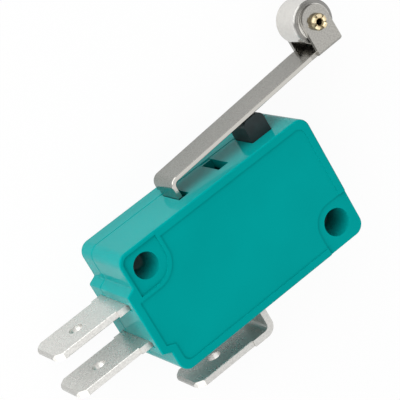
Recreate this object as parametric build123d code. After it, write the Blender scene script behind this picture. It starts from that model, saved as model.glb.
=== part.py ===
from build123d import *
import os
from math import atan2, cos, degrees, hypot, radians, sin, tan

# Lever micro switch: a snap-action switch in a two-part moulded casing with a hinged roller lever.
# It lies on its back. X runs along the casing from the two end terminals to the roller, Y runs
# across it towards the lever, Z runs up out of the front face. The origin is on the axis of the
# lower mounting bore, in the plane of the back face. Lengths are in millimetres.

# Casing
bore_pitch_x = 22.2
bore_pitch_y = 10.3
bore_inset = 2.8
bore_d = 3.1
wide_bore_d = 3.3
case_depth = 10.3
cover_depth = 2.95
side_wall = 1.2
front_wall = 1.3
back_wall = 1.4
corner_r = 1.4
edge_r = 0.2
seam_bevel = 0.12
boss_r = 2.7
spigot_wall = 0.6
bore_front_length = 3.4
spigot_top_z = case_depth - bore_front_length
room_depth = case_depth - front_wall - back_wall
fit_gap = 0.03

# Terminal block on the left end
block_out = 1.05
block_top_y = 8.7
block_low_y = 0.7
block_slope = 0.45
block_edge_r = 0.25

# Shallow recesses of the front face
rim_width = 0.95
panel_sink = 0.15
panel_corner_r = 0.95
pad_r = 2.6
pad_rim = 0.45
pad_sink = 0.3

# Frame of the snap mechanism, the plane that it is centred on, and openings in the lever side
frame_front_gap = 0.7
frame_back_gap = 1.5
frame_width = room_depth - frame_front_gap - frame_back_gap
action_z = back_wall + frame_back_gap + frame_width / 2
window_share = 0.6
window_width = window_share * frame_width
window_side_gap = 0.4
drive_width = window_width - 2 * window_side_gap
slot_inset = 0.5
slot_width = 1.45
slot_length = frame_width - 2 * slot_inset
hinge_slot_x = -13.55
spare_slot_x = -7.7
plunger_gap = 0.08

# Plunger
plunger_x = -1.78
plunger_width = 2.8
plunger_inset = 0.1
plunger_length = slot_length - 2 * plunger_inset
plunger_top_y = 15.72
plunger_top_r = 0.8
flange_side = 0.5
flange_height = 1.1
flange_rest_gap = 0.15
nose_width = 1.6
nose_length = 2.0
nose_r = 0.4

# Terminals
tab_width = 6.3
tab_thickness = 0.8
keeper_front_gap = 0.2
keeper_back_gap = 0.1
keeper_width = room_depth - keeper_front_gap - keeper_back_gap
keeper_side = 0.2
keeper_length = 0.8
tab_z = back_wall + keeper_back_gap + keeper_width / 2
tab_reach = 10.95
tab_bevel = 1.05
tab_thin = 0.25
tab_hole_d = 1.7
tab_hole_inset = 4.5
shoulder_width = keeper_width - 2 * keeper_side
shoulder_reach = 2.4
slot_front_wall = 1.0
tongue_width = 4.6
nc_y = 7.1
no_y = 1.95
no_contact_y = 3.35
terminal_end_x = -18.8
common_x = -12.75
common_tip_x = -23.95
common_drop = 3.35
common_shoulder_x = -15.6
common_bend_r = 1.0
frame_bend_r = 0.8
step_bend_r = 0.7
frame_y = 3.3
frame_window_end_x = -0.1
post_x = 1.0
post_top_y = 6.3
prop_top_y = 4.6
notch_depth = 0.5
notch_height = 0.7
notch_gap = 0.1

# Contacts
contact_x = -20.1
contact_head_d = 2.6
contact_head = 0.6
contact_crown_d = 2.1
contact_crown = 0.2
contact_shank_d = 1.2
contact_peen_d = 1.62
contact_peen = 0.2
moving_head = 0.4
contact_rest_gap = 0.05

# Contact arm
arm_y = 5.5
arm_thickness = 0.3
arm_hook_x = -10.6
arm_hook_land = 0.7
arm_window_start_x = arm_hook_x + arm_hook_land
arm_window_end_x = -0.3
arm_taper_gap = 0.9
arm_taper_length = 2.5
arm_taper_start_x = arm_hook_x - arm_taper_gap
arm_taper_end_x = arm_taper_start_x - arm_taper_length
arm_tip_width = 3.0
arm_overhang = 1.4
hook_hole_d = 0.62

# Drive arm under the plunger
drive_thickness = 0.3
drive_y = 4.2
drive_riser_x = -4.2
drive_top_y = 6.25
drive_end_x = -0.7
drive_bend_r = 0.35
drive_hook_y = 5.75

# Tension spring
wire_d = 0.22
coil_d = 1.5
coil_turns = 12
coil_start = 1.15
coil_stop = 0.85
hook_rise = 0.42
hook_reach = 0.7

# Lever, whose strip and bracket lie a little behind the plane that the mechanism is centred on
lever_thickness = 0.55
lever_width = 4.7
lever_shift = -0.25
lever_z = action_z + lever_shift
sheet_edge = 0.07
foot_x = -13.95
foot_side_gap = 0.2
foot_width = slot_length - 2 * foot_side_gap
foot_lip = 0.7
foot_lip_side = 0.6
foot_lip_width = slot_length + 2 * foot_lip_side
foot_lip_gap = 0.15
lever_corner_y = 15.2
lever_rise = 4.4
lever_bend_r = 0.78
bracket_start_x = 8.0
bracket_rise = 2.0
bracket_width = 5.8
ear_left_x = 9.1
ear_width = 3.55
ear_round_height = 3.58
ear_corner_r = 0.4
fold_r = 0.45

# Roller and its rivet
roller_height = 3.26
roller_d = 5.2
roller_side_gap = 0.06
hub_d = 4.2
hub_step = 0.2
roller_edge = 0.12
rivet_d = 1.6
rivet_bore_d = 0.8
rivet_fit = 0.02
rivet_head_d = 2.6
rivet_head = 0.4
rivet_head_bevel = 0.15
rolled_head_d = 2.0
rolled_head = 0.65
rolled_crown = 0.25
rolled_crest = 0.25
roller_running_gap = 0.05

# How far a cutting shape runs past the face that it cuts
over = 1.0

# Places that follow from the sizes above
left_x = -(bore_pitch_x + bore_inset)
right_x = bore_inset
bottom_y = -bore_inset
top_y = bore_pitch_y + bore_inset
block_x = left_x - block_out
bores = {"upper": (-bore_pitch_x, bore_pitch_y, bore_d), "lower": (0, 0, wide_bore_d)}
inner_left_x = left_x + side_wall
inner_right_x = right_x - side_wall
inner_bottom_y = bottom_y + side_wall
inner_top_y = top_y - side_wall
tab_tip_x = left_x - tab_reach
shoulder_x = left_x - shoulder_reach
arm_pivot_x = post_x - tab_thickness / 2 + notch_depth * (1 - arm_thickness / notch_height) - notch_gap
drive_pivot_x = (common_x + tab_thickness / 2
                 - notch_depth * (1 - drive_thickness / notch_height) + notch_gap)
ear_gap = bracket_width - 2 * lever_thickness
bracket_y = lever_corner_y + (bracket_start_x - foot_x) * tan(radians(lever_rise))
ear_left_y = bracket_y + (ear_left_x - bracket_start_x) * tan(radians(bracket_rise))
bracket_cos = cos(radians(bracket_rise))
bracket_sin = sin(radians(bracket_rise))
roller_x = ear_left_x + ear_width / 2 * bracket_cos - roller_height * bracket_sin
roller_y = ear_left_y + ear_width / 2 * bracket_sin + roller_height * bracket_cos


def block(x0, x1, y0, y1, z0, z1):
    """A box between two corners."""
    centre = Pos((x0 + x1) / 2, (y0 + y1) / 2, (z0 + z1) / 2)
    return centre * Box(x1 - x0, y1 - y0, z1 - z0)


def rectangle(x0, x1, y0, y1):
    """A flat rectangle between two corners."""
    return Pos((x0 + x1) / 2, (y0 + y1) / 2) * Rectangle(x1 - x0, y1 - y0)


def slab(face, z0, z1):
    """A flat face in XY thickened from z0 up to z1."""
    return Pos(0, 0, z0) * extrude(face, amount=z1 - z0, dir=(0, 0, 1))


def upright_cylinder(x, y, diameter, z0, z1):
    """A cylinder along Z."""
    return Pos(x, y, (z0 + z1) / 2) * Cylinder(diameter / 2, z1 - z0)


def pin_y(x, z, diameter, y0, y1):
    """A cylinder along Y."""
    return Pos(x, (y0 + y1) / 2, z) * Rot(90, 0, 0) * Cylinder(diameter / 2, y1 - y0)


def rounded(face, points, radius):
    """The face with the corners nearest to the points rounded."""
    picked = [face.vertices().sort_by_distance(point)[0] for point in points]
    return fillet(picked, radius=radius)


def plate_y(points, y_middle, thickness):
    """A flat plate square to Y, from outline points given as (x, z)."""
    plane = Plane(origin=(0, y_middle + thickness / 2, 0), x_dir=(1, 0, 0), z_dir=(0, -1, 0))
    return extrude(plane * make_face(Polyline(*points, close=True)), amount=thickness)


def bent_strip(path, width, thickness, z_middle, edge_break=0):
    """A strip of sheet folded along a path drawn in XY, with its edges broken if asked."""
    section = Rectangle(width, thickness)
    if edge_break:
        section = chamfer(section.vertices(), length=edge_break)
    start = Plane(origin=path @ 0, x_dir=(0, 0, 1), z_dir=path % 0)
    return Pos(0, 0, z_middle) * sweep(start * section, path=path)


def turned(profile, x, y, along_y=False):
    """A turned piece: the profile points are (radius, height), spun about its axis."""
    plane = Plane.XZ
    face = plane * make_face(Polyline(*profile, close=True))
    piece = revolve(face, axis=Axis.Z)
    if along_y:
        piece = Rot(-90, 0, 0) * piece
    return Pos(x, y, 0) * piece


def casing_outline(radius=corner_r):
    """The outline shared by both shells, with the terminal block on its left end."""
    points = [
        (left_x, bottom_y), (right_x, bottom_y), (right_x, top_y), (left_x, top_y),
        (left_x, block_top_y + block_slope), (block_x, block_top_y),
        (block_x, block_low_y), (left_x, block_low_y - block_slope),
    ]
    face = make_face(Polyline(*points, close=True))
    face = rounded(face, points[:4], radius)
    return rounded(face, points[4:7], block_edge_r)


def corner_pad(name, radius):
    """A round pad about a bore that runs on to the casing's nearest corner."""
    x, y, _ = bores[name]
    far = bore_inset + block_out + side_wall
    if name == "upper":
        beside = rectangle(x - far, x, y - radius, y + far)
        above = rectangle(x - far, x + radius, y, y + far)
    else:
        beside = rectangle(x, x + far, y - far, y + radius)
        above = rectangle(x - radius, x + far, y - far, y)
    return Pos(x, y) * Circle(radius) + beside + above


def cavity_outline():
    """The inside of the casing, clear of the two bore bosses."""
    room = rectangle(inner_left_x, inner_right_x, inner_bottom_y, inner_top_y)
    return room - corner_pad("upper", boss_r) - corner_pad("lower", boss_r)


def terminal_slots():
    """Slots through the walls for the three terminals, left open at the seam."""
    half = tab_thickness / 2 + fit_gap
    low_z = tab_z - shoulder_width / 2 - fit_gap
    top_z = case_depth - slot_front_wall
    slots = [block(block_x - over, inner_left_x + fit_gap, y - half, y + half, low_z, top_z)
             for y in (nc_y, no_y)]
    slots.append(block(common_x - half, common_x + half, bottom_y - over, inner_bottom_y + fit_gap,
                       low_z, top_z))
    return slots


def lever_side_slots():
    """Slots in the lever side, as (x middle, width, length): hinge, spare hinge place, plunger."""
    return [
        (hinge_slot_x, slot_width, slot_length),
        (spare_slot_x, slot_width, slot_length),
        (plunger_x, plunger_width + 2 * plunger_gap, plunger_length + 2 * plunger_gap),
    ]


def front_recesses(outline):
    """The sunk panel and the two sunk bore pads of the front face."""
    wider = casing_outline(rim_width + panel_corner_r)
    panel = offset(wider, amount=-rim_width, kind=Kind.INTERSECTION)
    panel = panel - corner_pad("upper", pad_r + pad_rim) - corner_pad("lower", pad_r)
    upper_pad = offset(outline, amount=-pad_rim, kind=Kind.INTERSECTION) & corner_pad("upper", pad_r)
    upper_pad &= rectangle(left_x + pad_rim, right_x, bottom_y, top_y)
    lower_pad = corner_pad("lower", pad_r)
    above = case_depth + over
    return [
        slab(panel, case_depth - panel_sink, above),
        slab(upper_pad, case_depth - pad_sink, above),
        slab(lower_pad, case_depth - pad_sink, above),
    ]


def make_case():
    """The front shell: the deep half, with bosses, slots and the stepped front face."""
    outline = casing_outline()
    shell = slab(outline, cover_depth, case_depth)
    front_edges = shell.edges().group_by(Axis.Z)[-1]
    shell = fillet(front_edges, radius=edge_r)
    shell = chamfer(shell.edges().group_by(Axis.Z)[0], length=seam_bevel)
    shell -= slab(cavity_outline(), cover_depth - over, case_depth - front_wall)
    for recess in front_recesses(outline):
        shell -= recess
    for x, y, d in bores.values():
        shell -= upright_cylinder(x, y, d, cover_depth - over, case_depth + over)
        counterbore = d + 2 * (spigot_wall + fit_gap)
        shell -= upright_cylinder(x, y, counterbore, cover_depth - over, spigot_top_z + fit_gap)
    for slot in terminal_slots():
        shell -= slot
    for x, width, length in lever_side_slots():
        shell -= block(x - width / 2, x + width / 2, inner_top_y - over, top_y + over,
                       cover_depth - over, action_z + length / 2)
    return shell


def make_cover():
    """The rear shell: a shallow tray with hollow spigots, and lugs that close the open slots."""
    tray = slab(casing_outline(), 0, cover_depth)
    tray = fillet(tray.edges().group_by(Axis.Z)[0], radius=edge_r)
    tray = chamfer(tray.edges().group_by(Axis.Z)[-1], length=seam_bevel)
    tray -= slab(cavity_outline(), back_wall, cover_depth + over)
    for x, y, d in bores.values():
        tray += upright_cylinder(x, y, d + 2 * spigot_wall, back_wall, spigot_top_z)
        tray -= upright_cylinder(x, y, d, -over, spigot_top_z + over)
    for slot in terminal_slots():
        tray -= slot
    for x, width, length in lever_side_slots():
        half = width / 2 - fit_gap
        tray += block(x - half, x + half, inner_top_y, top_y - seam_bevel,
                      back_wall, action_z - length / 2)
    return tray


def make_plunger():
    """The push button: a rounded block with a keeping flange and a nose over the drive arm."""
    flange_top = inner_top_y - flange_rest_gap
    flange_low = flange_top - flange_height
    half = plunger_width / 2
    profile = rectangle(plunger_x - half, plunger_x + half, flange_low, plunger_top_y)
    tops = [(plunger_x - half, plunger_top_y), (plunger_x + half, plunger_top_y)]
    body = slab(rounded(profile, tops, plunger_top_r),
                action_z - plunger_length / 2, action_z + plunger_length / 2)
    wide = half + flange_side
    deep = plunger_length / 2 + flange_side
    flange = block(plunger_x - wide, plunger_x + wide, flange_low, flange_top,
                   action_z - deep, action_z + deep)
    nose_y = drive_top_y + drive_thickness / 2 + contact_rest_gap
    nose = rectangle(plunger_x - nose_width / 2, plunger_x + nose_width / 2, nose_y, flange_low)
    tips = [(plunger_x - nose_width / 2, nose_y), (plunger_x + nose_width / 2, nose_y)]
    nose = slab(rounded(nose, tips, nose_r), action_z - nose_length / 2, action_z + nose_length / 2)
    return body + flange + nose


def mirrored_outline(side, z_middle):
    """A closed outline as (x, z) from half an outline given as (x, half width)."""
    return [(x, z_middle + w) for x, w in side] + [(x, z_middle - w) for x, w in reversed(side)]


def tab_blade(tip_x, root_x, y_middle):
    """A push-on tab with cut corners, a bevelled tip and a hole."""
    half = tab_width / 2
    side = [(tip_x, half - tab_bevel), (tip_x + tab_bevel, half), (root_x, half)]
    blade = plate_y(mirrored_outline(side, tab_z), y_middle, tab_thickness)
    blade = chamfer(blade.edges().filter_by(Axis.Z).group_by(Axis.X)[0], length=tab_thin)
    blade = chamfer(blade.edges().filter_by(Axis.X), length=sheet_edge)
    return blade - pin_y(tip_x + tab_hole_inset, tab_z, tab_hole_d, y_middle - over, y_middle + over)


def end_terminal(y_middle, inner_points):
    """A straight end terminal: tab, shoulders, wall passage, keeper ears and inner tongue."""
    keep_x = inner_left_x + fit_gap
    side = [
        (shoulder_x, shoulder_width / 2), (keep_x, shoulder_width / 2),
        (keep_x, keeper_width / 2), (keep_x + keeper_length, keeper_width / 2),
    ] + inner_points
    root = plate_y(mirrored_outline(side, tab_z), y_middle, tab_thickness)
    return tab_blade(tab_tip_x, shoulder_x, y_middle) + root


def make_nc_terminal():
    """The upper end terminal, straight from its tab to the fixed contact under its tongue."""
    neck_x = inner_left_x + fit_gap + keeper_length
    plate = end_terminal(nc_y, [(neck_x, tongue_width / 2), (terminal_end_x, tongue_width / 2)])
    hole = pin_y(contact_x, action_z, contact_shank_d, nc_y - over, nc_y + over)
    return plate - hole


def make_no_terminal():
    """The lower end terminal, stepped up inside to hold its contact under the moving one."""
    neck_x = inner_left_x + fit_gap + keeper_length
    plate = end_terminal(no_y, [])
    rise = no_contact_y - no_y
    path = FilletPolyline((neck_x - keeper_length / 2, no_y), (neck_x, no_y),
                          (neck_x + rise, no_contact_y), (terminal_end_x, no_contact_y),
                          radius=step_bend_r)
    tongue = bent_strip(path, tongue_width, tab_thickness, tab_z)
    hole = pin_y(contact_x, action_z, contact_shank_d, no_contact_y - over, no_contact_y + over)
    return plate + tongue - hole


def notch(x, y, toward):
    """A wedge along Z that cuts a pivot groove into a face at x, deeper along toward."""
    half = notch_height / 2
    points = [(x, y + half), (x + toward * notch_depth, y), (x, y - half)]
    wedge = make_face(Polyline(*points, close=True))
    return slab(wedge, 0, case_depth)


def make_common_terminal():
    """The bottom terminal: a bent tab that turns into the frame carrying both pivots."""
    tab_y = bottom_y - common_drop
    neck_y = inner_bottom_y + keeper_length
    root_path = FilletPolyline((common_shoulder_x, tab_y), (common_x, tab_y), (common_x, neck_y),
                               radius=common_bend_r)
    root = bent_strip(root_path, shoulder_width, tab_thickness, tab_z)
    frame_path = FilletPolyline((common_x, inner_bottom_y), (common_x, frame_y), (post_x, frame_y),
                                (post_x, post_top_y), radius=frame_bend_r)
    frame = bent_strip(frame_path, frame_width, tab_thickness, action_z)
    half_window = window_width / 2
    half_sheet = tab_thickness / 2
    window_low_y = frame_y - frame_bend_r - half_sheet
    frame -= block(common_x - half_sheet, frame_window_end_x, window_low_y, frame_y + half_sheet,
                   action_z - half_window, action_z + half_window)
    frame += block(common_x - half_sheet, common_x + half_sheet, window_low_y, prop_top_y,
                   action_z - drive_width / 2, action_z + drive_width / 2)
    frame -= notch(common_x + half_sheet, drive_y, -1)
    frame -= notch(post_x - half_sheet, arm_y, 1)
    return tab_blade(common_tip_x, common_shoulder_x, tab_y) + root + frame


def contact_head_side(face, height):
    """Half outline of a contact's head as (radius, height), from a face up to its flat crown."""
    head = contact_head_d / 2
    return [(head, face), (head, face + height - contact_crown), (contact_crown_d / 2, face + height)]


def fixed_contact(terminal_y, toward):
    """A silver rivet in a terminal: its head faces along toward, its far end is peened over."""
    half = tab_thickness / 2
    shank = contact_shank_d / 2
    peen = contact_peen_d / 2
    tail = -half - contact_peen
    profile = [(0, tail), (peen, tail), (peen, -half), (shank, -half), (shank, half)]
    profile += contact_head_side(half, contact_head)
    profile.append((0, half + contact_head))
    piece = turned([(r, toward * h) for r, h in profile], 0, 0, along_y=True)
    return Pos(contact_x, terminal_y, action_z) * piece


def make_moving_contact():
    """The double-headed silver contact at the tip of the contact arm."""
    half = arm_thickness / 2
    side = [(contact_shank_d / 2, half)] + contact_head_side(half, moving_head)
    profile = [(0, -half - moving_head)] + [(r, -h) for r, h in reversed(side)] + side
    profile.append((0, half + moving_head))
    return Pos(contact_x, arm_y, action_z) * turned(profile, 0, 0, along_y=True)


def make_contact_arm():
    """The flat moving arm: a window frame at its pivot end and a narrow finger at its contact end."""
    end_x = contact_x - arm_overhang
    wide = frame_width / 2
    narrow = arm_tip_width / 2
    side = [(arm_pivot_x, wide), (arm_taper_start_x, wide), (arm_taper_end_x, narrow),
            (end_x + narrow / 2, narrow), (end_x, narrow / 2)]
    arm = plate_y(mirrored_outline(side, action_z), arm_y, arm_thickness)
    half = window_width / 2
    arm -= block(arm_window_start_x, arm_window_end_x, arm_y - over, arm_y + over,
                 action_z - half, action_z + half)
    arm -= pin_y(contact_x, action_z, contact_shank_d, arm_y - over, arm_y + over)
    return arm - pin_y(arm_hook_x, action_z, hook_hole_d, arm_y - over, arm_y + over)


def make_drive_arm():
    """The folded arm that the plunger presses and that carries one end of the spring."""
    path = FilletPolyline((drive_pivot_x, drive_y), (drive_riser_x, drive_y), (drive_riser_x, drive_top_y),
                          (drive_end_x, drive_top_y), radius=drive_bend_r)
    arm = bent_strip(path, drive_width, drive_thickness, action_z)
    hole = Pos(drive_riser_x, drive_hook_y, action_z) * Rot(0, 90, 0) * Cylinder(hook_hole_d / 2, 2 * over)
    return arm - hole


def bent_wire(points):
    """Round spring wire along a bent path."""
    path = FilletPolyline(*points, radius=wire_d)
    return sweep(Plane(origin=path @ 0, z_dir=path % 0) * Circle(wire_d / 2), path=path)


def make_tension_spring():
    """The over-centre spring: a coil with a bent hook at each end, drawn along X from its first hook."""
    span_x = drive_riser_x - arm_hook_x
    span_y = drive_hook_y - arm_y
    length = hypot(span_x, span_y)
    coil_end = length - coil_stop
    coil_length = coil_end - coil_start
    mean_r = (coil_d - wire_d) / 2
    helix = Helix(pitch=coil_length / coil_turns, height=coil_length, radius=mean_r)
    section = Plane(origin=helix @ 0, z_dir=helix % 0) * Circle(wire_d / 2)
    coil = Pos(coil_start, 0, 0) * Rot(0, 90, 0) * sweep(section, path=helix, is_frenet=True)
    leg_x = coil_start + wire_d / 4
    arm_hook = bent_wire([(0, -hook_rise, 0), (0, hook_rise, 0), (leg_x, hook_rise, 0),
                          (leg_x, -wire_d / 4, -mean_r)])
    leg_x = coil_end - wire_d / 4
    drive_hook = bent_wire([(leg_x, -wire_d / 4, -mean_r), (leg_x, 0, 0), (length + hook_reach, 0, 0),
                            (length + hook_reach, -hook_rise, 0)])
    spring = coil + arm_hook + drive_hook
    turn = degrees(atan2(span_y, span_x))
    return Pos(arm_hook_x, arm_y, action_z) * Rot(0, 0, turn) * spring


def lever_foot():
    """The foot's lower part: narrow enough for its slot, with a lip that keeps it from pulling out."""
    low = inner_top_y - foot_lip_gap - foot_lip
    half = lever_thickness / 2
    neck_top = lever_corner_y - lever_bend_r - lever_thickness
    neck = block(foot_x - half, foot_x + half, low, neck_top,
                 action_z - foot_width / 2, action_z + foot_width / 2)
    lip = block(foot_x - half, foot_x + half, low, low + foot_lip,
                action_z - foot_lip_width / 2, action_z + foot_lip_width / 2)
    return neck + lip, neck_top


def lever_bracket():
    """The folded end of the lever: a floor with a round-topped ear on each side and the rivet's hole."""
    half = lever_thickness / 2
    width = bracket_width / 2
    top = ear_round_height + ear_width / 2
    channel = block(0, ear_width, -half, top, -width, width)
    channel = fillet(channel.edges().filter_by(Axis.X).group_by(Axis.Y)[0], radius=fold_r)
    channel -= block(-over, ear_width + over, half, top + over, -ear_gap / 2, ear_gap / 2)
    floor = rounded(rectangle(0, ear_width, -half, ear_round_height), [(ear_width, -half)], ear_corner_r)
    side_view = floor + Pos(ear_width / 2, ear_round_height) * Circle(ear_width / 2)
    bracket = channel & slab(side_view, -width - over, width + over)
    hole_d = rivet_d + 2 * rivet_fit
    bracket -= upright_cylinder(ear_width / 2, roller_height, hole_d, -width - over, width + over)
    return Pos(ear_left_x, ear_left_y, lever_z) * Rot(0, 0, bracket_rise) * bracket


def make_lever():
    """The folded lever: foot, hinge bend, rising strip, slight bend and the bracket for the roller."""
    foot, neck_top = lever_foot()
    path = FilletPolyline((foot_x, neck_top), (foot_x, lever_corner_y), (bracket_start_x, bracket_y),
                          (ear_left_x, ear_left_y), radius=lever_bend_r)
    strip = bent_strip(path, lever_width, lever_thickness, lever_z, sheet_edge)
    return foot + strip + lever_bracket()


def make_roller():
    """The turned steel roller with a stepped hub on each side."""
    half = ear_gap / 2 - roller_side_gap
    barrel = half - hub_step
    bore = rivet_d / 2 + roller_running_gap
    outer = roller_d / 2
    side = [(bore, half), (hub_d / 2, half), (hub_d / 2, barrel), (outer - roller_edge, barrel),
            (outer, barrel - roller_edge)]
    profile = side + [(r, -h) for r, h in reversed(side)]
    return Pos(0, 0, lever_z) * turned(profile, roller_x, roller_y)


def make_roller_pin():
    """The hollow brass rivet: a plain head behind and a rolled-over head in front."""
    face = bracket_width / 2
    shank = rivet_d / 2
    bore = rivet_bore_d / 2
    head = rivet_head_d / 2
    rolled = rolled_head_d / 2
    crest = (rolled + bore) / 2
    profile = [
        (0, -face - rivet_head), (head - rivet_head_bevel, -face - rivet_head),
        (head, -face - rivet_head + rivet_head_bevel), (head, -face), (shank, -face),
        (shank, face), (rolled, face), (rolled, face + rolled_head - rolled_crown),
        (crest + rolled_crest / 2, face + rolled_head), (crest - rolled_crest / 2, face + rolled_head),
        (bore, face + rolled_head - rolled_crown), (bore, -face), (0, -face),
    ]
    return Pos(0, 0, lever_z) * turned(profile, roller_x, roller_y)


parts = {
    "case": make_case,
    "cover": make_cover,
    "plunger": make_plunger,
    "lever": make_lever,
    "roller": make_roller,
    "roller_pin": make_roller_pin,
    "common_terminal": make_common_terminal,
    "nc_terminal": make_nc_terminal,
    "no_terminal": make_no_terminal,
    "contact_arm": make_contact_arm,
    "drive_arm": make_drive_arm,
    "tension_spring": make_tension_spring,
    "moving_contact": make_moving_contact,
    "nc_contact": lambda: fixed_contact(nc_y, -1),
    "no_contact": lambda: fixed_contact(no_contact_y, 1),
}

os.makedirs("parts", exist_ok=True)
for node, make in parts.items():
    export_step(make(), f"parts/{node}.step")
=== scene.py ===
from math import pi

import bpy
from mathutils import Matrix, Vector


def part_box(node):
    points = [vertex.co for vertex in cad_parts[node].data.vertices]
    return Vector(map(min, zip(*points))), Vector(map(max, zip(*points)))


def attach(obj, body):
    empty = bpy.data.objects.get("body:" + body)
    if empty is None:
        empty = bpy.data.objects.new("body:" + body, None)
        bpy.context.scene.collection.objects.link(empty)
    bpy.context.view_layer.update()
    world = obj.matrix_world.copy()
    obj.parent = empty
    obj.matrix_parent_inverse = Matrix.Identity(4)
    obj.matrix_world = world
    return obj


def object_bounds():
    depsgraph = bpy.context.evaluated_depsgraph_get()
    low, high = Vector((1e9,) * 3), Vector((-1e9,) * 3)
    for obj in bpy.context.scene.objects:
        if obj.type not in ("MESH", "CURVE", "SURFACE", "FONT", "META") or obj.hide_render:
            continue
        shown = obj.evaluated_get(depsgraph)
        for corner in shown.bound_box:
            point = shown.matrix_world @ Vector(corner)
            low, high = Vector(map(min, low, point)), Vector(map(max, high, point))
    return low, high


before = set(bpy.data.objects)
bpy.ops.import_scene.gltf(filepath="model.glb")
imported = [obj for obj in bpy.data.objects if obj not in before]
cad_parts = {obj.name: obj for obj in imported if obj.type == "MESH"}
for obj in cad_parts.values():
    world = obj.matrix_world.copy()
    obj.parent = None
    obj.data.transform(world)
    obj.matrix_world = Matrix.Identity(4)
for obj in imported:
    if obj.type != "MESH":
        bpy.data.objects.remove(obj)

# Lever micro switch: the finishes of its casing, plated metal, brass and contacts, and the studio.
# Lengths are in metres, in the same frame as the solids: X along the casing towards the roller,
# Y across it towards the lever, Z out of its front face.

cad_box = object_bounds()

MM = 0.001

# Studio: the camera's place, what it looks at, and which way is up in the photograph
CAMERA_PLACE = Vector((-80.54, 88.25, 198.84)) * MM
CAMERA_AIM = Vector((-11.38, 10.73, 5.6)) * MM
CAMERA_UP = Vector((0.5816, 0.8053, -0.1149))
CAMERA_LENS = 175.0
SENSOR_WIDTH = 36.0
CLIP_START = 0.01
CLIP_END = 20.0

# Paper under the switch, and the share of plain white that the camera and reflections see on it:
# the rest is the paper as it is lit, with its shadows
FLOOR_SIZE = 6.0
FLOOR_GAP = 0.02 * MM
FLOOR_COLOUR = (0.93, 0.93, 0.93)
FLOOR_ROUGHNESS = 0.9
WHITE_SEEN = 0.94
WHITE_MIRRORED = 0.25

# Even light from all round, and the strength at which the background is white
WORLD_STRENGTH = 0.36
WHITE = 1.0

# Lamps: name, place, size of the square box and power in watts
LAMPS = [
    ("lever_side_softbox", Vector((-0.20, 0.39, 0.20)), 0.60, 2.8),
    ("end_side_softbox", Vector((-0.40, -0.22, 0.26)), 0.65, 1.8),
    ("overhead_softbox", Vector((0.16, -0.20, 0.50)), 0.52, 0.24),
]

# Split mouth of the rivet: its petals' number, sizes and how unevenly they are curled
PETALS = 5
PETAL_BORE = 0.43 * MM
PETAL_CURL = 0.27 * MM
PETAL_SHEET = 0.06 * MM
PETAL_ROLL = 2.7
PETAL_HALF_ANGLE = 0.56
PETAL_CLOSING = 0.42
PETAL_ROWS = 13
PETAL_COLUMNS = 9
PETAL_WELD = 0.001 * MM
PETAL_SEAT = 0.10 * MM
PETAL_SEED = 7
PETAL_STRAY = 0.16
PETAL_LEAST = (0.92, 0.92, 0.7)
PETAL_MOST = (1.05, 1.05, 1.3)
TURN = 2 * pi

# Colours of the finishes. Upright metal mirrors the white paper, so a metal's colour is written as
# dark as it looks.
TEAL = (0.0, 0.325, 0.315)
TEAL_TINT = (0.0, 1.0, 1.0)
PLUNGER_DARK = (0.009, 0.015, 0.016)
NICKEL = (0.37, 0.36, 0.335)
TIN = (0.69, 0.68, 0.65)
# Painted shade: the common terminal's tin is the same tin as the others', written darker
SHADED_COMMON_TIN = (0.58, 0.57, 0.545)
STEEL = (0.78, 0.765, 0.73)
BRASS = (0.86, 0.72, 0.46)
SILVER = (0.86, 0.86, 0.84)
WIRE = (0.55, 0.55, 0.54)

# Shares that part of a finish is toned by: flow clouding of the plastic, mottling of the plunger,
# specks of the nickel, the strip's cut edges, clouding of the tin and of the turned steel, a tab's
# cut tip, painted shade on the roller's shoulders and on the pin in the rivet's mouth, and dull patches
# of the brass
FLOW_TONE = 0.94
MOTTLE_TONE = 1.5
SPECK_TONE = 0.72
CUT_EDGE_TONE = 1.25
TIN_TONE = 0.82
STEEL_TONE = 0.9
CUT_TIP_TONE = 0.72
# Painted shade: a dark ring on each of the roller's shoulders, in the recess by the lever's ears
SHOULDER_SHADE_TONE = 0.3
# Painted shade: the pin's brass inside the rivet's mouth, darkened to about a third
PIN_SHADE_TONE = 0.33
BRASS_TONE = 0.75

# How much the plastics mirror, and the lowest and highest roughness of each finish
TEAL_GLOSS = 0.12
PLUNGER_GLOSS = 0.3
TEAL_ROUGHNESS = (0.05, 0.09)
PLUNGER_ROUGHNESS = 0.45
NICKEL_ROUGHNESS = (0.12, 0.24)
TIN_ROUGHNESS = (0.24, 0.34)
STEEL_ROUGHNESS = (0.10, 0.22)
BRASS_ROUGHNESS = (0.30, 0.44)
SATIN_ROUGHNESS = (0.25, 0.4)
WIRE_ROUGHNESS = (0.15, 0.3)

# Places of those parts: how far the strip's edges lie from the roller's middle in Z and how thick
# they count, how far a tab's cut tip reaches, and where the painted shade on the roller's shoulders
# starts and ends, in from its end face
STRIP_EDGE = 2.35 * MM
EDGE_DEPTH = 0.015 * MM
TIP_LENGTH = 0.26 * MM
SHOULDER_START = 0.31 * MM
SHOULDER_END = 0.17 * MM

# Specks in the plating and the tin: size and roughness of the noise, and where on it the nickel's
# specks start and end
SPECK_SIZE = 0.15 * MM
SPECK_GRAIN = 0.7
SPECK_RUN = (0.42, 0.66)

# Rolling marks: how thick they are and how many times as long, along X
MARK_SIZE = 0.05 * MM
ALONG_X = (40.0, 1.0, 1.0)

# Turning rings on the roller: pitch, and how much they waver
RING_PITCH = 0.12 * MM
RING_WAVER = 0.6


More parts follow.
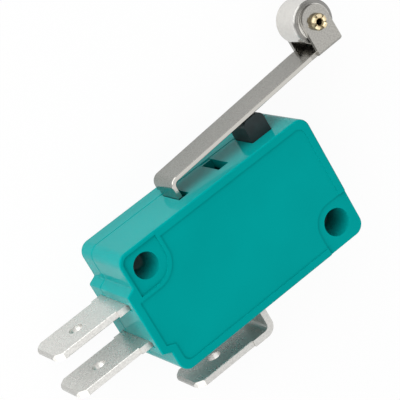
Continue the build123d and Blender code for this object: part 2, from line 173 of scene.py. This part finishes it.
class Finish:
    """A material under construction: its shader, and helpers that add pattern nodes to it."""

    def __init__(self, name, colour, metallic, roughness):
        self.material = bpy.data.materials.new(name)
        self.material.use_nodes = True
        self.nodes = self.material.node_tree.nodes
        self.links = self.material.node_tree.links
        self.shader = self.nodes["Principled BSDF"]
        self.shader.inputs["Base Color"].default_value = (*colour, 1.0)
        self.shader.inputs["Metallic"].default_value = metallic
        self.shader.inputs["Roughness"].default_value = roughness
        self.colour = colour
        self.place = self.nodes.new("ShaderNodeTexCoord").outputs["Object"]
        self.normal = None

    def mapped(self, scale, location=(0.0, 0.0, 0.0)):
        """Object coordinates moved to a centre and stretched, for a pattern that runs along a piece."""
        node = self.nodes.new("ShaderNodeMapping")
        node.vector_type = "TEXTURE"
        node.inputs["Location"].default_value = location
        node.inputs["Scale"].default_value = scale
        self.links.new(self.place, node.inputs["Vector"])
        return node.outputs["Vector"]

    def noise(self, size, stretch=(1.0, 1.0, 1.0), detail=3.0, roughness=0.55):
        """Noise with cells of about this size, stretched along the axes."""
        node = self.nodes.new("ShaderNodeTexNoise")
        node.inputs["Scale"].default_value = 1.0
        node.inputs["Detail"].default_value = detail
        node.inputs["Roughness"].default_value = roughness
        scale = tuple(size * s for s in stretch)
        self.links.new(self.mapped(scale), node.inputs["Vector"])
        return node.outputs["Fac"]

    def ranged(self, value, low, high, start=0.3, end=0.7):
        """A pattern's value turned into the range from low to high."""
        node = self.nodes.new("ShaderNodeMapRange")
        node.inputs["From Min"].default_value = start
        node.inputs["From Max"].default_value = end
        node.inputs["To Min"].default_value = low
        node.inputs["To Max"].default_value = high
        self.links.new(value, node.inputs["Value"])
        return node.outputs["Result"]

    def vary_colour(self, value, other, start=0.35, end=0.65):
        """The base colour runs to another colour where the pattern is high."""
        node = self.nodes.new("ShaderNodeMix")
        node.data_type = "RGBA"
        node.inputs["A"].default_value = (*self.colour, 1.0)
        node.inputs["B"].default_value = (*other, 1.0)
        self.links.new(self.ranged(value, 0.0, 1.0, start, end), node.inputs["Factor"])
        self.links.new(node.outputs["Result"], self.shader.inputs["Base Color"])

    def shade(self, share, other):
        """Over the base colour's pattern, a second colour where the share is one."""
        node = self.nodes.new("ShaderNodeMix")
        node.data_type = "RGBA"
        base = self.shader.inputs["Base Color"].links[0].from_socket
        self.links.new(share, node.inputs["Factor"])
        self.links.new(base, node.inputs["A"])
        node.inputs["B"].default_value = (*other, 1.0)
        self.links.new(node.outputs["Result"], self.shader.inputs["Base Color"])

    def axis(self, letter):
        """One coordinate of the point."""
        node = self.nodes.new("ShaderNodeSeparateXYZ")
        self.links.new(self.place, node.inputs["Vector"])
        return node.outputs[letter]

    def math(self, operation, *values):
        """A sum on values."""
        node = self.nodes.new("ShaderNodeMath")
        node.operation = operation
        for socket, value in zip(node.inputs, values):
            if isinstance(value, float):
                socket.default_value = value
            else:
                self.links.new(value, socket)
        return node.outputs["Value"]

    def band(self, middle_z, near, far):
        """One between two distances, in Z, on either side of a middle, and nothing elsewhere."""
        away = self.math("ABSOLUTE", self.math("SUBTRACT", self.axis("Z"), middle_z))
        past = self.math("GREATER_THAN", away, near)
        return self.math("MULTIPLY", past, self.math("LESS_THAN", away, far))

    def vary_roughness(self, value, low, high):
        """The roughness follows the pattern."""
        self.links.new(self.ranged(value, low, high), self.shader.inputs["Roughness"])

    def bump(self, value, depth, strength=1.0):
        """Relief of this depth that follows the pattern, on top of any relief already there."""
        node = self.nodes.new("ShaderNodeBump")
        node.inputs["Strength"].default_value = strength
        node.inputs["Distance"].default_value = depth
        self.links.new(value, node.inputs["Height"])
        if self.normal is not None:
            self.links.new(self.normal, node.inputs["Normal"])
        self.normal = node.outputs["Normal"]
        self.links.new(self.normal, self.shader.inputs["Normal"])

    def rings(self, centre, pitch):
        """Turning rings about an axis along Z through the centre, as a wave from 0 to 1."""
        node = self.nodes.new("ShaderNodeTexWave")
        node.wave_type = "RINGS"
        node.rings_direction = "Z"
        node.inputs["Scale"].default_value = 1.0
        node.inputs["Distortion"].default_value = RING_WAVER
        node.inputs["Detail"].default_value = 2.0
        self.links.new(self.mapped((pitch, pitch, pitch), centre), node.inputs["Vector"])
        return node.outputs["Fac"]


def toned(colour, share):
    """The colour multiplied by a share: darker below one, lighter above it."""
    return tuple(c * share for c in colour)


def moulded_teal():
    """Glossy moulded plastic with faint flow clouding and a very fine orange peel."""
    finish = Finish("moulded_teal", TEAL, metallic=0.0, roughness=0.07)
    finish.shader.inputs["Specular Tint"].default_value = (*TEAL_TINT, 1.0)
    finish.shader.inputs["Specular IOR Level"].default_value = TEAL_GLOSS
    finish.vary_colour(finish.noise(size=9 * MM, detail=2.0), toned(TEAL, FLOW_TONE))
    finish.vary_roughness(finish.noise(size=2.5 * MM), *TEAL_ROUGHNESS)
    finish.bump(finish.noise(size=1.2 * MM, detail=1.0), depth=0.0015 * MM)
    return finish.material


def moulded_dark():
    """Satin dark plastic of the plunger, with a fine grain."""
    finish = Finish("moulded_dark", PLUNGER_DARK, metallic=0.0, roughness=PLUNGER_ROUGHNESS)
    finish.shader.inputs["Specular IOR Level"].default_value = PLUNGER_GLOSS
    finish.vary_colour(finish.noise(size=0.8 * MM), toned(PLUNGER_DARK, MOTTLE_TONE))
    finish.bump(finish.noise(size=0.12 * MM), depth=0.01 * MM)
    return finish.material


def bright_nickel():
    """Plated strip of the lever: faint rolling marks along it, a fine speckle, a slightly wavy face
    and lighter cut edges."""
    finish = Finish("bright_nickel", NICKEL, metallic=1.0, roughness=0.14)
    marks = finish.noise(size=MARK_SIZE, stretch=ALONG_X, detail=4.0)
    speckle = finish.noise(size=SPECK_SIZE, detail=2.0, roughness=SPECK_GRAIN)
    rim = finish.band(roller_axis.z, STRIP_EDGE - EDGE_DEPTH, STRIP_EDGE + EDGE_DEPTH)
    strip = finish.math("LESS_THAN", finish.axis("X"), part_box("roller")[0][0])
    finish.vary_colour(speckle, toned(NICKEL, SPECK_TONE), *SPECK_RUN)
    finish.shade(finish.math("MULTIPLY", rim, strip), toned(NICKEL, CUT_EDGE_TONE))
    finish.vary_roughness(speckle, *NICKEL_ROUGHNESS)
    finish.bump(marks, depth=0.003 * MM, strength=0.4)
    finish.bump(speckle, depth=0.008 * MM, strength=0.6)
    finish.bump(finish.noise(size=1.6 * MM, detail=2.0), depth=0.004 * MM, strength=0.3)
    return finish.material


def matt_tin(name, terminal, tin):
    """Matt tinned terminal: a fine sparkling speckle over soft clouding, and a duller cut tip."""
    finish = Finish(name, tin, metallic=0.75, roughness=0.30)
    finish.vary_colour(finish.noise(size=0.22 * MM, detail=3.0), toned(tin, TIN_TONE))
    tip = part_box(terminal)[0][0] + TIP_LENGTH
    finish.shade(finish.math("LESS_THAN", finish.axis("X"), tip), toned(tin, CUT_TIP_TONE))
    speckle = finish.noise(size=SPECK_SIZE, detail=2.0, roughness=SPECK_GRAIN)
    finish.vary_roughness(finish.noise(size=1.5 * MM), *TIN_ROUGHNESS)
    finish.bump(speckle, depth=0.02 * MM, strength=0.7)
    return finish.material


def turned_steel():
    """The roller's turned steel: fine rings about its axis, and painted shade that darkens its
    shoulders.
    """
    finish = Finish("turned_steel", STEEL, metallic=0.9, roughness=0.16)
    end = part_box("roller")[1][2] - roller_axis.z
    finish.vary_colour(finish.noise(size=0.3 * MM), toned(STEEL, STEEL_TONE))
    # Painted shade: a darker ring near each end face of the roller, where the hub's step and the ear
    # shade it
    shoulder = finish.band(roller_axis.z, end - SHOULDER_START, end - SHOULDER_END)
    finish.shade(shoulder, toned(STEEL, SHOULDER_SHADE_TONE))
    rings = finish.rings(roller_axis, RING_PITCH)
    finish.vary_roughness(rings, *STEEL_ROUGHNESS)
    finish.bump(rings, depth=0.004 * MM, strength=0.6)
    return finish.material


def rivet_finish(name, colour, metallic):
    """The rivet's brass, slightly uneven from being rolled over."""
    finish = Finish(name, colour, metallic=metallic, roughness=0.36)
    finish.vary_colour(finish.noise(size=0.25 * MM), toned(colour, BRASS_TONE))
    finish.vary_roughness(finish.noise(size=0.4 * MM), *BRASS_ROUGHNESS)
    finish.bump(finish.noise(size=0.2 * MM), depth=0.01 * MM, strength=0.6)
    return finish.material


def plain_metal(name, colour, roughness):
    """Metal with only slight unevenness."""
    finish = Finish(name, colour, metallic=1.0, roughness=sum(roughness) / 2)
    finish.vary_roughness(finish.noise(size=0.8 * MM), *roughness)
    finish.bump(finish.noise(size=0.3 * MM), depth=0.003 * MM, strength=0.5)
    return finish.material


def dress(node, material):
    """Gives a solid its finish."""
    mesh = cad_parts[node].data
    mesh.materials.clear()
    mesh.materials.append(material)


class Tree:
    """A Geometry Nodes tree under construction, with named inputs for its sizes."""

    def __init__(self, name):
        self.group = bpy.data.node_groups.new(name, "GeometryNodeTree")
        self.group.interface.new_socket("Geometry", in_out="OUTPUT",
                                        socket_type="NodeSocketGeometry")
        self.entry = self.group.nodes.new("NodeGroupInput")
        self.exit = self.group.nodes.new("NodeGroupOutput")
        self.settings = {}

    def size(self, name, value, kind="NodeSocketFloat"):
        """A named input and the value that its modifier gets."""
        socket = self.group.interface.new_socket(name, in_out="INPUT", socket_type=kind)
        self.settings[socket.identifier] = value
        return self.entry.outputs[name]

    def node(self, kind, properties=None, **inputs):
        """A node with its properties set and its inputs linked or given, by name."""
        node = self.group.nodes.new(kind)
        for name, value in (properties or {}).items():
            setattr(node, name, value)
        for name, value in inputs.items():
            self.feed(node.inputs[name.replace("_", " ")], value)
        return node

    def feed(self, socket, value):
        """A link or a plain value into a socket."""
        if isinstance(value, bpy.types.NodeSocket):
            self.group.links.new(value, socket)
        else:
            socket.default_value = value

    def math(self, operation, *values):
        """A sum on values."""
        node = self.node("ShaderNodeMath", {"operation": operation})
        for socket, value in zip(node.inputs, values):
            self.feed(socket, value)
        return node.outputs["Value"]

    def vector(self, x, y, z):
        """Three values as a vector."""
        return self.node("ShaderNodeCombineXYZ", X=x, Y=y, Z=z).outputs["Vector"]

    def finish(self, geometry, material):
        """The tree's end: real meshes, in one material."""
        real = self.node("GeometryNodeRealizeInstances", Geometry=geometry).outputs["Geometry"]
        done = self.node("GeometryNodeSetMaterial", Geometry=real, Material=material)
        self.feed(self.exit.inputs["Geometry"], done.outputs["Geometry"])

    def piece(self, name, place):
        """The tree's result as a plain mesh in a new object, moved to its place."""
        carrier = bpy.data.objects.new(name + "_tree", bpy.data.meshes.new(name + "_seed"))
        bpy.context.scene.collection.objects.link(carrier)
        modifier = carrier.modifiers.new("tree", "NODES")
        modifier.node_group = self.group
        for identifier, value in self.settings.items():
            modifier[identifier] = value
        seen = carrier.evaluated_get(bpy.context.evaluated_depsgraph_get())
        mesh = bpy.data.meshes.new_from_object(seen)
        mesh.name = name
        mesh.materials.pop(index=0)
        mesh.transform(Matrix.Translation(place))
        bpy.data.objects.remove(carrier)
        piece = bpy.data.objects.new(name, mesh)
        bpy.context.scene.collection.objects.link(piece)
        return piece


def middle(node):
    """The middle of a solid's box."""
    low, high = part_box(node)
    return (Vector(low) + Vector(high)) / 2


roller_axis = middle("roller")

teal = moulded_teal()
nickel = bright_nickel()
end_tin = matt_tin("matt_tin", "nc_terminal", TIN)
# Painted shade: the common terminal gets the darker copy of the tin
shaded_common_tin = matt_tin("matt_tin_painted_shade", "common_terminal", SHADED_COMMON_TIN)
roller_steel = turned_steel()
brass = rivet_finish("rivet_brass", BRASS, metallic=0.7)
# Painted shade: the pin seen in the rivet's split mouth gets a darkened copy of the brass
shaded_brass = rivet_finish("rivet_brass_painted_shade", toned(BRASS, PIN_SHADE_TONE), metallic=1.0)
arm_brass = plain_metal("arm_brass", BRASS, SATIN_ROUGHNESS)
silver = plain_metal("contact_silver", SILVER, SATIN_ROUGHNESS)
wire = plain_metal("spring_wire", WIRE, WIRE_ROUGHNESS)

finishes = {
    "case": teal, "cover": teal, "plunger": moulded_dark(),
    "lever": nickel, "roller": roller_steel, "roller_pin": shaded_brass,
    "common_terminal": shaded_common_tin, "nc_terminal": end_tin, "no_terminal": end_tin,
    "contact_arm": arm_brass, "drive_arm": arm_brass, "tension_spring": wire,
    "moving_contact": silver, "nc_contact": silver, "no_contact": silver,
}
for node, material in finishes.items():
    dress(node, material)


def rolled_petals():
    """The rivet's split mouth: curled petals about its bore, each a little different."""
    tree = Tree("rolled_petals")
    count = tree.size("Petals", PETALS, "NodeSocketInt")
    bore = tree.size("Bore radius", PETAL_BORE)
    curl = tree.size("Curl radius", PETAL_CURL)
    sheet = tree.size("Sheet thickness", PETAL_SHEET)
    spread = tree.size("Half angle", PETAL_HALF_ANGLE)
    closing = tree.size("Closing towards the tip", PETAL_CLOSING)
    grid = tree.node("GeometryNodeMeshGrid", Size_X=1.0, Size_Y=1.0,
                     Vertices_X=PETAL_COLUMNS, Vertices_Y=PETAL_ROWS)
    position = tree.node("GeometryNodeInputPosition").outputs["Position"]
    across, along, _ = tree.node("ShaderNodeSeparateXYZ", Vector=position).outputs
    along = tree.math("ADD", along, 0.5)
    roll = tree.math("MULTIPLY", along, PETAL_ROLL)
    outward = tree.math("SUBTRACT", 1.0, tree.math("COSINE", roll))
    reach = tree.math("ADD", bore, tree.math("MULTIPLY", curl, outward))
    height = tree.math("MULTIPLY", curl, tree.math("SINE", roll))
    narrowing = tree.math("SUBTRACT", 1.0, tree.math("MULTIPLY", closing, along))
    half_width = tree.math("MULTIPLY", spread, narrowing)
    angle = tree.math("MULTIPLY", tree.math("MULTIPLY", across, 2.0), half_width)
    bent = tree.vector(tree.math("MULTIPLY", reach, tree.math("COSINE", angle)),
                       tree.math("MULTIPLY", reach, tree.math("SINE", angle)), height)
    skin = tree.node("GeometryNodeSetPosition", Geometry=grid.outputs["Mesh"],
                     Position=bent).outputs["Geometry"]
    raised = tree.node("GeometryNodeExtrudeMesh", {"mode": "FACES"}, Mesh=skin, Offset_Scale=sheet,
                       Individual=False).outputs["Mesh"]
    under = tree.node("GeometryNodeFlipFaces", Mesh=skin).outputs["Mesh"]
    both = tree.node("GeometryNodeJoinGeometry")
    for part in (raised, under):
        tree.group.links.new(part, both.inputs["Geometry"])
    petal = tree.node("GeometryNodeMergeByDistance", Geometry=both.outputs["Geometry"],
                      Distance=PETAL_WELD).outputs["Geometry"]
    places = tree.node("GeometryNodePoints", Count=count).outputs["Points"]
    index = tree.node("GeometryNodeInputIndex").outputs["Index"]
    turn = tree.math("DIVIDE", tree.math("MULTIPLY", index, TURN), count)
    loose = tree.node("FunctionNodeRandomValue", {"data_type": "FLOAT"}, Seed=PETAL_SEED)
    loose.inputs[2].default_value, loose.inputs[3].default_value = -PETAL_STRAY, PETAL_STRAY
    uneven = tree.node("FunctionNodeRandomValue", {"data_type": "FLOAT_VECTOR"}, Seed=PETAL_SEED)
    uneven.inputs[0].default_value, uneven.inputs[1].default_value = PETAL_LEAST, PETAL_MOST
    rotation = tree.vector(0.0, 0.0, tree.math("ADD", turn, loose.outputs[1]))
    ring = tree.node("GeometryNodeInstanceOnPoints", Points=places, Instance=petal,
                     Rotation=rotation, Scale=uneven.outputs[0]).outputs["Instances"]
    tree.finish(ring, brass)
    head = Vector((roller_axis.x, roller_axis.y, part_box("roller_pin")[1][2]))
    piece = tree.piece("rivet_petals", head - Vector((0.0, 0.0, PETAL_SEAT)))
    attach(piece, "roller_lever")


rolled_petals()


def share_of_white(nodes, links, camera_share, mirrored_share):
    """The share of plain white that a ray sees: one for the camera's rays, and one for those that
    gloss or glass sends on. It is 0 for the light that falls on the switch."""
    path = nodes.new("ShaderNodeLightPath").outputs
    mirrored = nodes.new("ShaderNodeMath")
    mirrored.operation = "MAXIMUM"
    links.new(path["Is Glossy Ray"], mirrored.inputs[0])
    links.new(path["Is Transmission Ray"], mirrored.inputs[1])
    camera = nodes.new("ShaderNodeMath")
    camera.operation = "MULTIPLY"
    camera.inputs[1].default_value = camera_share
    links.new(path["Is Camera Ray"], camera.inputs[0])
    both = nodes.new("ShaderNodeMath")
    both.operation = "MULTIPLY_ADD"
    both.inputs[1].default_value = mirrored_share
    links.new(mirrored.outputs["Value"], both.inputs[0])
    links.new(camera.outputs["Value"], both.inputs[2])
    return both.outputs["Value"]


def whiten(paper):
    """The paper looks plain white, less its shadows, which show more where it is mirrored."""
    nodes, links = paper.nodes, paper.links
    white = nodes.new("ShaderNodeEmission")
    mix = nodes.new("ShaderNodeMixShader")
    links.new(share_of_white(nodes, links, WHITE_SEEN, WHITE_MIRRORED), mix.inputs["Fac"])
    links.new(paper.shader.outputs["BSDF"], mix.inputs[1])
    links.new(white.outputs["Emission"], mix.inputs[2])
    links.new(mix.outputs["Shader"], nodes["Material Output"].inputs["Surface"])


def make_floor():
    """A plain pale floor under the switch."""
    low = cad_box[0][2] - FLOOR_GAP
    half = FLOOR_SIZE / 2
    mesh = bpy.data.meshes.new("floor")
    corners = [(-half, -half, low), (half, -half, low), (half, half, low), (-half, half, low)]
    mesh.from_pydata(corners, [], [(0, 1, 2, 3)])
    floor = bpy.data.objects.new("floor", mesh)
    bpy.context.scene.collection.objects.link(floor)
    paper = Finish("floor_paper", FLOOR_COLOUR, metallic=0.0, roughness=FLOOR_ROUGHNESS)
    paper.shader.inputs["Specular IOR Level"].default_value = 0.0
    whiten(paper)
    mesh.materials.append(paper.material)


def make_world():
    """Even pale light from all round, and a white background to the camera and in reflections."""
    world = bpy.data.worlds.new("studio")
    world.use_nodes = True
    nodes, links = world.node_tree.nodes, world.node_tree.links
    strength = nodes.new("ShaderNodeMix")
    links.new(share_of_white(nodes, links, WHITE, WHITE), strength.inputs["Factor"])
    strength.inputs["A"].default_value = WORLD_STRENGTH
    strength.inputs["B"].default_value = WHITE
    links.new(strength.outputs["Result"], nodes["Background"].inputs["Strength"])
    nodes["Background"].inputs["Color"].default_value = (1.0, 1.0, 1.0, 1.0)
    bpy.context.scene.world = world


def make_lamps():
    """Square soft boxes aimed at the switch."""
    for name, place, size, power in LAMPS:
        lamp = bpy.data.lights.new(name, "AREA")
        lamp.shape = "SQUARE"
        lamp.size = size
        lamp.energy = power
        box = bpy.data.objects.new(name, lamp)
        box.location = place
        box.rotation_euler = (CAMERA_AIM - place).to_track_quat("-Z", "Y").to_euler()
        bpy.context.scene.collection.objects.link(box)


def make_camera():
    """The camera at the photograph's viewing angle, turned so that the photograph's up is up."""
    data = bpy.data.cameras.new("camera")
    data.lens = CAMERA_LENS
    data.sensor_width = SENSOR_WIDTH
    data.clip_start = CLIP_START
    data.clip_end = CLIP_END
    camera = bpy.data.objects.new("camera", data)
    forward = (CAMERA_AIM - CAMERA_PLACE).normalized()
    right = forward.cross(CAMERA_UP).normalized()
    up = right.cross(forward)
    turn = Matrix((right, up, -forward)).transposed()
    camera.matrix_world = Matrix.Translation(CAMERA_PLACE) @ turn.to_4x4()
    bpy.context.scene.collection.objects.link(camera)
    bpy.context.scene.camera = camera


make_floor()
make_world()
make_lamps()
make_camera()
bpy.context.scene.view_settings.view_transform = "Standard"
